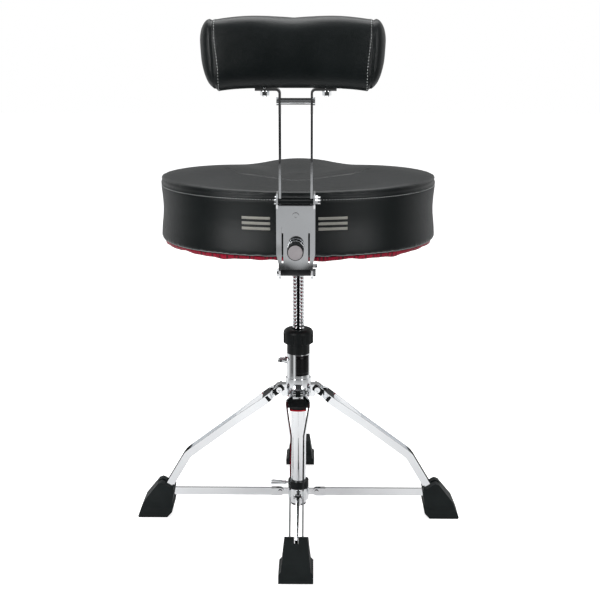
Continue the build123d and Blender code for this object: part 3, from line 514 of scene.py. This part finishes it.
def seat_cushion():
    """Band and top as one swollen form, with a pinched seam, a sewn channel and a slight waist."""
    loop = plan_loop()
    band_profile = [
        (0.016, RIM + 0.0035), (0.006, RIM + 0.0012), (0.0015, RIM + 0.0008), (0.0, RIM + 0.005),
        (0.0012, RIM + 0.022), (0.0034, RIM + 0.042), (0.0036, RIM + 0.055), (0.002, RIM + 0.075),
        (0.0004, SEAM - 0.006), (0.0006, SEAM), (0.0002, SEAM + SADDLE_CROWN),
    ]
    rings = [[p - n * inset + Vector((0, 0, z)) for p, n in loop] for inset, z in band_profile]
    for inset, share in ((0.0022, 0.45), (0.0062, 0.74), (0.0125, 0.91), (0.021, 1.0)):
        ring = []
        for p, n in loop:
            q = p - n * inset
            climb = saddle_height(q.x, q.y) - SEAM - SADDLE_CROWN
            ring.append(Vector((q.x, q.y, SEAM + SADDLE_CROWN + climb * share)))
        rings.append(ring)
    edge = rings[-1]
    for share in (0.85, 0.7, 0.55, 0.4, 0.25, 0.12):
        ring = []
        for q in edge:
            x, y = q.x * share, MIDDLE_Y + (q.y - MIDDLE_Y) * share
            ring.append(Vector((x, y, saddle_height(x, y))))
        rings.append(ring)
    verts, faces = loft(rings)
    piece = new_piece("seat_cushion", verts, faces, finish["leather"], None)

    def pinned(co):
        return max(0.0, min(1.0, 1.0 - (co.z - SEAM - 0.002) / 0.006))

    puff(piece, pinned, pressure=3.0, most=0.007, voxel=0.0045)
    smooth_and_divide(piece, 3)
    for v in piece.data.vertices:
        co = v.co
        outward = Vector((co.x, co.y - MIDDLE_Y, 0)).normalized()
        if SEAM - 0.012 < co.z < SEAM + 0.006:
            seam, stitch_row = bell(co.z, SEAM, 0.0028), bell(co.z, SEAM - STITCHES_BELOW_SEAM, 0.002)
            v.co = co - outward * (0.0022 * seam) - outward * (0.0009 * stitch_row)
        if co.z > 0.582 and co.y > -0.19:
            v.co.z -= 0.0018 * bell(channel_distance(co.x, co.y), 0.0, 0.003)
    piece.data.materials.clear()
    piece.data.materials.append(finish["leather"])
    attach(piece, "seat")
    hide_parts("seat_top_cover", "seat_side_band", "seat_foam")
    return piece


def channel_point(t):
    """The sewn channel across the saddle, t from -1 to 1: a shallow bow with raised ends."""
    x = 0.112 * t
    y = -0.102 + 0.012 * abs(t) ** 2 + 0.030 * max(0.0, abs(t) - 0.78) / 0.22
    return x, y


channel_line = [channel_point(-1 + k / 40) for k in range(81)]


def channel_distance(x, y):
    """Distance to the channel, or a large value well away from it."""
    if abs(x) > 0.125 or not -0.12 < y < -0.04:
        return 1.0
    return min(math.hypot(x - px, y - py) for px, py in channel_line)


def cast_to(tree, origin, direction, fallback):
    """Where a ray meets a surface, and the normal there."""
    hit, normal, _, _ = tree.ray_cast(origin, direction)
    if hit is None:
        return fallback, -direction
    return hit, normal


cushion = seat_cushion()
cushion_tree = tree_of(cushion)


def band_points(z, steps=150):
    """Points and normals on the band's surface at a height, all the way round."""
    points, normals = [], []
    for p, n in plan_loop(steps):
        origin = p + n * 0.02 + Vector((0, 0, z))
        hit, normal = cast_to(cushion_tree, origin, -n, p + Vector((0, 0, z)))
        points.append(hit)
        normals.append(normal if normal.dot(n) > 0 else n)
    return points, normals


points, normals = band_points(SEAM - STITCHES_BELOW_SEAM)
stitches("seat_band_stitches", points + points[:1], normals + normals[:1], 0.0026, 0.0017, 0.0004,
         white_thread, "seat")
piping = []
for p, n in plan_loop(120):
    from_below = p - n * 0.0022 + Vector((0, 0, RIM - 0.03))
    fallback = from_below + Vector((0, 0, 0.031))
    hit, _ = cast_to(cushion_tree, from_below, Vector((0, 0, 1)), fallback)
    piping.append(hit + Vector((0, 0, 0.0001)))
tube_along("seat_bottom_piping", piping, 0.0008, pale_piping, "seat")

points, normals = [], []
for x, y in channel_line:
    hit, normal = cast_to(cushion_tree, Vector((x, y, 0.62)), Vector((0, 0, -1)), Vector((x, y, 0.59)))
    points.append(hit)
    normals.append(Vector((0, 0, 1)))
black_thread = thread("black_thread", (0.004, 0.004, 0.004), (0.02, 0.02, 0.02))
stitches("seat_channel_stitches", points, normals, 0.0032, 0.0015, 0.0005, black_thread, "seat")


def band_patch(name, x_from, x_to, z_from, z_to):
    """A patch of satin-stitched thread that lies on the back of the band."""
    columns, rows = 24, 4
    verts = []
    for layer in (0.0007, -0.0006):
        for r in range(rows + 1):
            for c in range(columns + 1):
                x = x_from + (x_to - x_from) * c / columns
                z = z_from + (z_to - z_from) * r / rows
                hit, _ = cast_to(cushion_tree, Vector((x, -0.3, z)), Vector((0, 1, 0)), Vector((x, -0.2, z)))
                rounded = 0.35 + 0.65 * math.sin(math.pi * r / rows) if layer > 0 else 1.0
                verts.append(hit - Vector((0, layer * rounded, 0)))
    new_piece(name, verts, slab_faces(columns, rows), silver_thread, "seat")


STRIPE_LOW, STRIPE_PITCH, STRIPE_HEIGHT = 0.5275, 0.0078, 0.0042
for side, (x_from, x_to) in (("left", (-0.080, -0.038)), ("right", (0.032, 0.075))):
    for row in range(3):
        z = STRIPE_LOW + STRIPE_PITCH * row
        band_patch(f"seat_stripe_{side}_{row + 1}", x_from, x_to, z, z + STRIPE_HEIGHT)

# Half width and half depth of the opening in the dust cover, round the seat plate.
OPENING_HALF_X, OPENING_HALF_Y = 0.080, 0.064


def towards_opening(q):
    """The point of the opening's edge that lies on the way from q to the middle."""
    across = OPENING_HALF_X / abs(q.x) if abs(q.x) > OPENING_HALF_X else 0.0
    along = OPENING_HALF_Y / abs(q.y) if abs(q.y) > OPENING_HALF_Y else 0.0
    scale = min(1.0, max(across, along)) or 0.9
    return Vector((q.x * scale, q.y * scale, RIM + 0.0022))


def dust_cover():
    """Red cloth under the board: gathered at the rim, where it hangs a little below the band."""
    loop = plan_loop(110)
    count = len(loop)
    rings = []
    insets_and_drops = ((0.0045, -0.0015), (0.0058, 0.0034), (0.010, 0.0056), (0.018, 0.0046),
                        (0.030, 0.0012), (0.045, -0.0012))
    for inset, drop in insets_and_drops:
        ring = []
        for i, (p, n) in enumerate(loop):
            t = 2 * math.pi * i / count
            ripple = 0.3 * math.sin(9 * t + 0.8) + 0.2 * math.sin(23 * t + 2.0) + 0.12 * math.sin(41 * t)
            sag = drop * (0.62 + 0.62 * (0.5 + ripple)) if drop > 0 else drop
            q = p - n * inset
            ring.append(Vector((q.x, q.y, RIM - sag)))
        rings.append(ring)
    last = rings[-1]
    inner = [towards_opening(q) for q in last]
    middle = [a.lerp(b, 0.5) for a, b in zip(last, inner)]
    verts, faces = loft(rings + [middle, inner], False)
    piece = new_piece("seat_underside_cloth", verts, faces, finish["red_fabric"], "seat")
    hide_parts("seat_dust_cover")


dust_cover()

# ---------------------------------------------------------------- backrest pad
pad_low, pad_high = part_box("pad_cover")
PAD_Y = (pad_low.y + pad_high.y) / 2
PAD_Z = (pad_low.z + pad_high.z) / 2
TAB_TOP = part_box("post_left")[1].z
PAD_SHIFT = -0.0040
# The pad's sleeve ends in a seam on each side, which leans outwards with height, and a domed cap follows.
SLEEVE_END = 0.1080
SEAM_REACH = 0.049
SEAM_LEAN = 0.0025
CAP_REACH = 0.0200


def pad_ring(x, across, down, up, lift=0.0):
    """Rounded cross-section of the pad: half depth across, and its reach down and up."""
    steps, roundness = 48, 0.6
    ring = []
    for k in range(steps):
        t = 2 * math.pi * k / steps
        c, s = math.cos(t), math.sin(t)
        y = across * math.copysign(abs(c) ** roundness, c)
        z = (up if s > 0 else down) * math.copysign(abs(s) ** roundness, s)
        lean = SEAM_LEAN * x / SLEEVE_END * z / SEAM_REACH
        ring.append(Vector((PAD_SHIFT + x + lean, PAD_Y + y, PAD_Z + lift + z)))
    return ring


def pad_end(side):
    """Rings of the domed end, from the seam outwards; the dome is fullest a little above the middle."""
    rings = []
    for share in (0.12, 0.3, 0.5, 0.68, 0.84, 0.95):
        x = SLEEVE_END + 0.001 + CAP_REACH * share
        size = (1 - share**2.2) ** 0.5
        rings.append(pad_ring(side * x, 0.0305 * size, 0.0500 * size, 0.0462 * size, 0.006 * (1 - size)))
    return rings


def backrest_pad():
    """Sleeve and caps as one swollen form, with pinched seams, that stands on the posts' tabs."""
    half_height = (pad_high.z - pad_low.z) / 2
    depth = (pad_high.y - pad_low.y) / 2
    rings = pad_end(-1)[::-1]
    for k in range(-9, 10):
        x = SLEEVE_END * k / 9
        t = abs(x) / SLEEVE_END
        crest = 0.0022 * math.exp(-(((abs(x) - 0.058) / 0.034) ** 2)) - 0.0034 * t**5
        dip = -0.0016 * math.exp(-((x / 0.028) ** 2))
        droop = 0.0046 * t**4
        waist = 0.0012 * t**6
        up = half_height - 0.0022 + crest + dip
        rings.append(pad_ring(x, depth - 0.002 - waist, half_height + droop, up))
    rings += pad_end(1)
    verts, faces = loft(rings)
    piece = new_piece("backrest_pad", verts, faces, finish["leather"], None)

    def seam_offset(co):
        """How far a point is from the nearer seam, along the pad."""
        side = 1 if co.x > PAD_SHIFT else -1
        return side * (co.x - PAD_SHIFT) - SLEEVE_END - 0.0012 - SEAM_LEAN * (co.z - PAD_Z) / SEAM_REACH

    def pinned(co):
        under = 1.0 if co.z < pad_low.z + 0.006 else 0.0
        return max(under, min(1.0, 1.4 * bell(seam_offset(co), 0.0, 0.006)))

    puff(piece, pinned, pressure=3.5, most=0.0035, voxel=0.0042)
    smooth_and_divide(piece, 3)
    lowest = min(v.co.z for v in piece.data.vertices if abs(v.co.x) < 0.04)
    underside = TAB_TOP + 0.0002
    stretch = (PAD_Z - underside) / (PAD_Z - lowest)
    for v in piece.data.vertices:
        if v.co.z < PAD_Z:
            v.co.z = PAD_Z - (PAD_Z - v.co.z) * stretch
        co = v.co
        inward = Vector((0, PAD_Y - co.y, PAD_Z - co.z))
        if inward.length > 0.01:
            v.co = co + inward.normalized() * (0.0019 * bell(seam_offset(co), 0.0, 0.0030))
        if v.co.z < underside and abs(v.co.x) < 0.065:
            v.co.z = underside
    piece.data.materials.clear()
    piece.data.materials.append(finish["leather"])
    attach(piece, "backrest")
    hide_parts("pad_cover", "pad_end_caps", "pad_foam", "pad_board")
    return piece


pad = backrest_pad()
pad_tree = tree_of(pad)
for name, side in (("left", -1), ("right", 1)):
    points, normals = [], []
    for k in range(121):
        t = 2 * math.pi * k / 120
        out = Vector((0, math.cos(t), math.sin(t)))
        height = max(-1.0, min(1.0, 1.6 * out.z))
        x = PAD_SHIFT + side * (SLEEVE_END - 0.0028 + SEAM_LEAN * height)
        origin = Vector((x, PAD_Y, PAD_Z)) + out * 0.09
        hit, normal = cast_to(pad_tree, origin, -out, origin - out * 0.045)
        points.append(hit)
        normals.append(normal if normal.dot(out) > 0 else out)
    stitches(f"pad_stitches_{name}", points, normals, 0.0024, 0.0019, 0.0004,
             white_thread, "backrest")

# ---------------------------------------------------------------- threaded rod
rod_low, rod_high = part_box("rod")
THREAD_LEAD = 0.006
THREAD_DEPTH = 0.0013
GROOVE_HALF = 0.0025
GROOVE_FLOOR = 0.0074


def threaded_rod():
    """The rod with its thread and keyway, and a small chamfer at each end."""
    sides, per_turn, chamfer = 56, 10, 0.001
    radius = (rod_high.x - rod_low.x) / 2
    rows = int((rod_high.z - rod_low.z) / THREAD_LEAD * per_turn)
    rings = []
    for r in range(rows + 1):
        z = rod_low.z + (rod_high.z - rod_low.z) * r / rows
        from_end = min(z - rod_low.z, rod_high.z - z)
        ring = []
        for k in range(sides):
            t = 2 * math.pi * k / sides
            phase = (z / THREAD_LEAD + t / (2 * math.pi)) % 1.0
            tooth = min(1.0, max(0.0, 1.6 * abs(2 * phase - 1) - 0.25))
            here = radius - THREAD_DEPTH * tooth - max(0.0, chamfer - from_end)
            x, y = here * math.cos(t), here * math.sin(t)
            if y < 0 and abs(x) < GROOVE_HALF:
                y = max(y, -GROOVE_FLOOR)
            ring.append(Vector((x, y, z)))
        rings.append(ring)
    verts, faces = loft(rings)
    piece = new_piece("threaded_rod", verts, faces, rolled_thread(), "rod")
    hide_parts("rod")


threaded_rod()

# ---------------------------------------------------------------- small trims
COLUMN_RADIUS = 0.01905
LABEL_LOW, LABEL_HEIGHT = 0.2490, 0.0345
LABEL_START, LABEL_TURN = -100, 74


def column_label():
    """Plain black film on the back of the column."""
    columns, rows = 16, 6
    verts = []
    for offset in (0.00025, 0.00002):
        radius = COLUMN_RADIUS + offset
        for r in range(rows + 1):
            z = LABEL_LOW + LABEL_HEIGHT * r / rows
            for c in range(columns + 1):
                t = math.radians(LABEL_START + LABEL_TURN * c / columns)
                verts.append(Vector((radius * math.cos(t), radius * math.sin(t), z)))
    new_piece("column_label", verts, slab_faces(columns, rows), label_film, "base")


column_label()

# Leg 1 lies along X, and the others are turned copies of it. Pivot and knee give the slope of its upper run.
LEG_PIVOT = Vector((0.0317, 0, 0.2239))
LEG_KNEE = Vector((0.1868, 0, 0.1076))
SPACER_END_FROM_PIVOT = 0.0313
ALONG = (LEG_KNEE - LEG_PIVOT).normalized()
ACROSS = Vector((-ALONG.z, 0, ALONG.x))
SPACER_END = LEG_PIVOT + ALONG * SPACER_END_FROM_PIVOT


def leg_turn(number):
    """Rotation from leg 1 to a numbered leg."""
    return Matrix.Rotation(math.radians(90 * (number - 1)), 3, "Z")


def spacer_trim(number):
    """Red strip along the lower edge of the spacer's outer end."""
    half_width, bow = 0.0128, 0.0022
    path = []
    for k in range(13):
        t = -1 + k / 6
        below = ACROSS * (0.0030 + bow * (1 - t * t))
        path.append(SPACER_END + ALONG * 0.0006 - below + Vector((0, half_width * t, 0)))
    turn = leg_turn(number)
    tube_along(f"leg_{number}_spacer_trim", [turn @ p for p in path], 0.0012, red_plastic, f"leg_{number}",
               closed=False)


for number in LEGS:
    spacer_trim(number)

# The lip's lower and upper edge in the boot's outer wall, just inside the wall's face.
LIP_LOW, LIP_HIGH = Vector((0.2518, 0, 0.0404)), Vector((0.2420, 0, 0.0527))
LIP_HALF_WIDTH = 0.0034
LIP_INWARD = Vector((-0.782, 0, -0.623)) * 0.0012


def boot_lip(number):
    """Thin rubber lip that closes the slot in the boot's outer wall up to a small notch at its top."""
    columns, rows = 4, 3
    verts = []
    for depth in (0.02, 1.0):
        for row in range(rows + 1):
            place = LIP_LOW.lerp(LIP_HIGH, row / rows) + LIP_INWARD * depth
            for column in range(columns + 1):
                verts.append(place + Vector((0, LIP_HALF_WIDTH * (2 * column / columns - 1), 0)))
    turn = leg_turn(number)
    new_piece(f"leg_{number}_boot_lip", [turn @ v for v in verts], slab_faces(columns, rows),
              finish["rubber"], f"leg_{number}", smooth=False)


for number in LEGS:
    boot_lip(number)

knob_low, knob_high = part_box("knob_grip")
KNOB_Z = (knob_low.z + knob_high.z) / 2


def knob_highlight_ring():
    """Thin chrome ring round the knob near its base, laid where the grip's rim shows a highlight: a painted
    highlight.
    """
    y, radius, thickness = -0.2535, 0.01155, 0.0006
    steps, sides = 48, 8
    turns = [2 * math.pi * j / sides for j in range(sides)]
    rings = []
    for k in range(steps):
        t = 2 * math.pi * k / steps
        out = Vector((math.cos(t), 0, math.sin(t)))
        middle = Vector((0, y, KNOB_Z)) + out * radius
        rings.append([middle + out * (thickness * math.cos(a)) + Vector((0, thickness * math.sin(a), 0))
                      for a in turns])
    rings.append(rings[0])
    verts, faces = loft(rings, False)
    new_piece("knob_highlight_ring", verts, faces, finish["chrome"], "knob")


knob_highlight_ring()

# ---------------------------------------------------------------- finishes of the CAD nodes
# Boots are rubber, and a node that is not named here is chromed.
NODES_BY_FINISH = {
    "black_plastic": ["tube_end_cap", "hub_bushes", "nut_housing", "collar_bush", "height_nut",
                      "guide_rollers", "knob_grip", *(f"leg_{number}_fittings" for number in LEGS)],
    "bent_chrome": ["bracket", "clamp_plate"],
    "plywood": ["seat_board", "pad_board"],
    "foam": ["seat_foam", "pad_foam"],
    "zinc_steel": ["seat_plate", "seat_screws"],
    "black_steel": ["backrest_arm", "tilt_barrel"],
    "grey_plastic": ["knob_cap"],
    "brass": ["nut_insert"],
    "red_fabric": ["seat_dust_cover"],
    "leather": ["seat_side_band", "seat_top_cover", "pad_cover", "pad_end_caps"],
    "rubber": [f"leg_{number}_boot" for number in LEGS],
}
finish_of = {name: kind for kind, names in NODES_BY_FINISH.items() for name in names}
for name, node in nodes.items():
    material = finish[finish_of.get(name, "chrome")]
    if not node.data.materials:
        node.data.materials.append(material)
    for index in range(len(node.data.materials)):
        node.data.materials[index] = material


def soften(node, width):
    """Rounds a CAD node's sharp edges a little, on top of its own mesh."""
    weld = node.modifiers.new("weld", "WELD")
    weld.merge_threshold = 0.00002
    bevel = node.modifiers.new("bevel", "BEVEL")
    bevel.width = width
    bevel.segments = 3
    bevel.limit_method = "ANGLE"
    bevel.angle_limit = math.radians(35)


for number in LEGS:
    soften(nodes[f"leg_{number}_boot"], 0.0022)

# ---------------------------------------------------------------- camera, floor and light
scene.view_settings.view_transform = "Standard"
scene.view_settings.look = "None"

CAMERA_DISTANCE = 1.957
CAMERA_HEIGHT = 0.8446
CAMERA_SIDE = 0.0027
AZIMUTH = math.radians(0.8)
PITCH = math.radians(13.5)

camera = bpy.data.objects.new("camera", bpy.data.cameras.new("camera"))
scene.collection.objects.link(camera)
camera.data.sensor_width = 36
camera.data.lens = 73.24
right = Vector((math.cos(AZIMUTH), math.sin(AZIMUTH), 0))
behind = Vector((math.sin(AZIMUTH), -math.cos(AZIMUTH), 0))
camera.location = behind * CAMERA_DISTANCE + right * CAMERA_SIDE + Vector((0, 0, CAMERA_HEIGHT))
camera.rotation_euler = (math.pi / 2 - PITCH, 0, AZIMUTH)
scene.camera = camera

floor_mesh = bpy.data.meshes.new("floor")
floor_mesh.from_pydata([(-8, -8, 0), (8, -8, 0), (8, 8, 0), (-8, 8, 0)], [], [(0, 1, 2, 3)])
floor = bpy.data.objects.new("floor", floor_mesh)
floor.location.z = -0.0005
scene.collection.objects.link(floor)
# The object mirrors the studio. The camera sees the floor and the room as plain white. In reflections the
# walls are dark behind the viewer's usual place, bright beside that, dark again, bright past the sides and
# grey on the far side. Each pair is a bearing, from 0 on the viewer's side to 1 on the far side, and a grey.
WALLS = ((0.0, 0.05), (0.14, 0.06), (0.19, 0.55), (0.25, 0.60), (0.30, 0.10), (0.42, 0.12), (0.50, 0.34),
         (0.64, 0.90), (0.84, 0.85), (0.90, 0.30), (1.0, 0.26))


def bearing(tree, direction):
    """Angle of a direction round Z, from 0 on the viewer's side to pi on the far side."""
    split = tree.node("ShaderNodeSeparateXYZ", {"Vector": direction})
    turn = tree.math("ARCTAN2", split.outputs["X"], tree.math("MULTIPLY", split.outputs["Y"], -1.0))
    return tree.math("ABSOLUTE", turn)


def wall_grey(tree, angle):
    """The grey of the walls at a bearing."""
    ramp = tree.node("ShaderNodeValToRGB", {"Fac": tree.math("DIVIDE", angle, math.pi)})
    elements = ramp.color_ramp.elements
    elements[0].position, elements[1].position = WALLS[0][0], WALLS[-1][0]
    for element, (_, grey) in zip(elements, (WALLS[0], WALLS[-1])):
        element.color = (grey, grey, grey, 1)
    for place, grey in WALLS[1:-1]:
        elements.new(place).color = (grey, grey, grey, 1)
    return ramp.outputs["Color"]


# In reflections the floor carries painted light and shade: white round the object, the walls' greys further
# out, and a painted bright strip on the viewer's side.
paper = Shader("paper", Roughness=0.9, Specular_IOR_Level=0.05, Emission_Color=(1, 1, 1, 1))
apart = paper.node("ShaderNodeVectorMath", {"Vector": paper.coords}, operation="LENGTH").outputs["Value"]
seen = paper.node("ShaderNodeLightPath").outputs["Is Camera Ray"]
angle = bearing(paper, paper.coords)
near = paper.spread(apart, 0.72, 0.85, 1.0, 0.0)
# Painted light: a bright strip on the floor, seen only in reflections.
strip = paper.spread(angle, 0.06, 0.10, 0.85, 0.0)
strip = paper.math("MULTIPLY", strip, paper.spread(apart, 2.3, 2.7, 0.0, 1.0))
strip = paper.math("MULTIPLY", strip, paper.spread(apart, 4.6, 5.4, 1.0, 0.0))
lit = paper.math("MAXIMUM", near, seen)
lit = paper.math("MAXIMUM", lit, paper.math("MAXIMUM", strip, wall_grey(paper, angle)))
paper.tint(lit, (0.0, 0.0, 0.0), (0.93, 0.93, 0.93))
paper.tree.links.new(paper.math("MULTIPLY", seen, 0.70), paper.bsdf.inputs["Emission Strength"])
floor_mesh.materials.append(paper.material)


def area_light(name, place, aim, wide, tall, power):
    """A rectangular panel that faces the aimed point."""
    data = bpy.data.lights.new(name, "AREA")
    data.shape = "RECTANGLE"
    data.size, data.size_y = wide, tall
    data.energy = power
    lamp = bpy.data.objects.new(name, data)
    lamp.location = place
    lamp.rotation_euler = (Vector(aim) - Vector(place)).to_track_quat("-Z", "Y").to_euler()
    scene.collection.objects.link(lamp)


area_light("left_panel", (-1.30, -1.75, 1.05), (0, 0, 0.55), 0.5, 1.8, 22)
area_light("right_panel", (1.30, -1.75, 1.05), (0, 0, 0.55), 0.5, 1.8, 13)
area_light("overhead", (0, 0.5, 2.4), (0, 0, 0.4), 2.0, 2.0, 34)

world = bpy.data.worlds.new("studio")
scene.world = world
world.use_nodes = True
sky = Nodes(world.node_tree)
sky.tree.nodes.clear()
direction = sky.node("ShaderNodeTexCoord").outputs["Generated"]
height = sky.node("ShaderNodeSeparateXYZ", {"Vector": direction}).outputs["Z"]
ceiling = sky.spread(height, 0.50, 0.80, 0.0, 1.0, "SMOOTHSTEP")
room = sky.node("ShaderNodeMix", {"Factor": ceiling}, data_type="RGBA")
sky.tree.links.new(wall_grey(sky, bearing(sky, direction)), room.inputs[MIX_A])
room.inputs[MIX_B].default_value = (0.55, 0.56, 0.57, 1)
glow = sky.node("ShaderNodeBackground", {"Color": room.outputs[MIX_RESULT]}, Strength=1.0)
plain = sky.node("ShaderNodeBackground", Color=(1, 1, 1, 1), Strength=1.0)
rays = sky.node("ShaderNodeLightPath").outputs["Is Camera Ray"]
choose = sky.node("ShaderNodeMixShader", {0: rays, 1: glow.outputs[0], 2: plain.outputs[0]})
sky.node("ShaderNodeOutputWorld", {"Surface": choose.outputs[0]})
